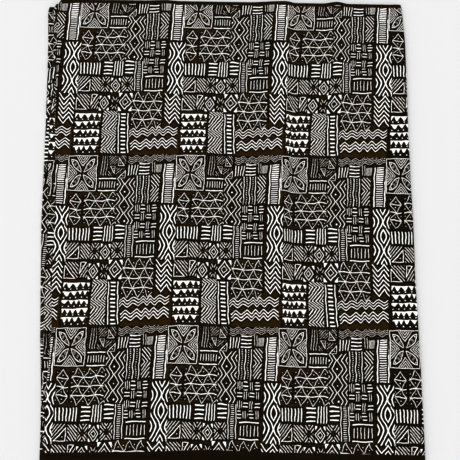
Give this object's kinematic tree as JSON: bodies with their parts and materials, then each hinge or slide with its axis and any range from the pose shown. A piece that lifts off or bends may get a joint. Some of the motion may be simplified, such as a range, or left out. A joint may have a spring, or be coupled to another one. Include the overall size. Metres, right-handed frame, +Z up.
{
  "type": "folded ankara fabric",
  "caption": "Length of African wax-print cotton folded back and forth into a flat rectangular stack, its left folds stepped, with soft lengthwise creases.",
  "frame": {"origin": "middle of the stack's footprint, on the surface that it lies on", "axes": "+Z up, +Y from the front selvedge to the back one, +X from the stepped folds towards the cut ends"},
  "size_m": [0.9458, 1.19, 0.0316],
  "materials": {
    "printed_cotton": "matt printed cotton, dark brown ground with white geometric ornaments"
  },
  "bodies": {
    "root": {"folded_cloth": "printed_cotton"}
  },
  "joints": []
}
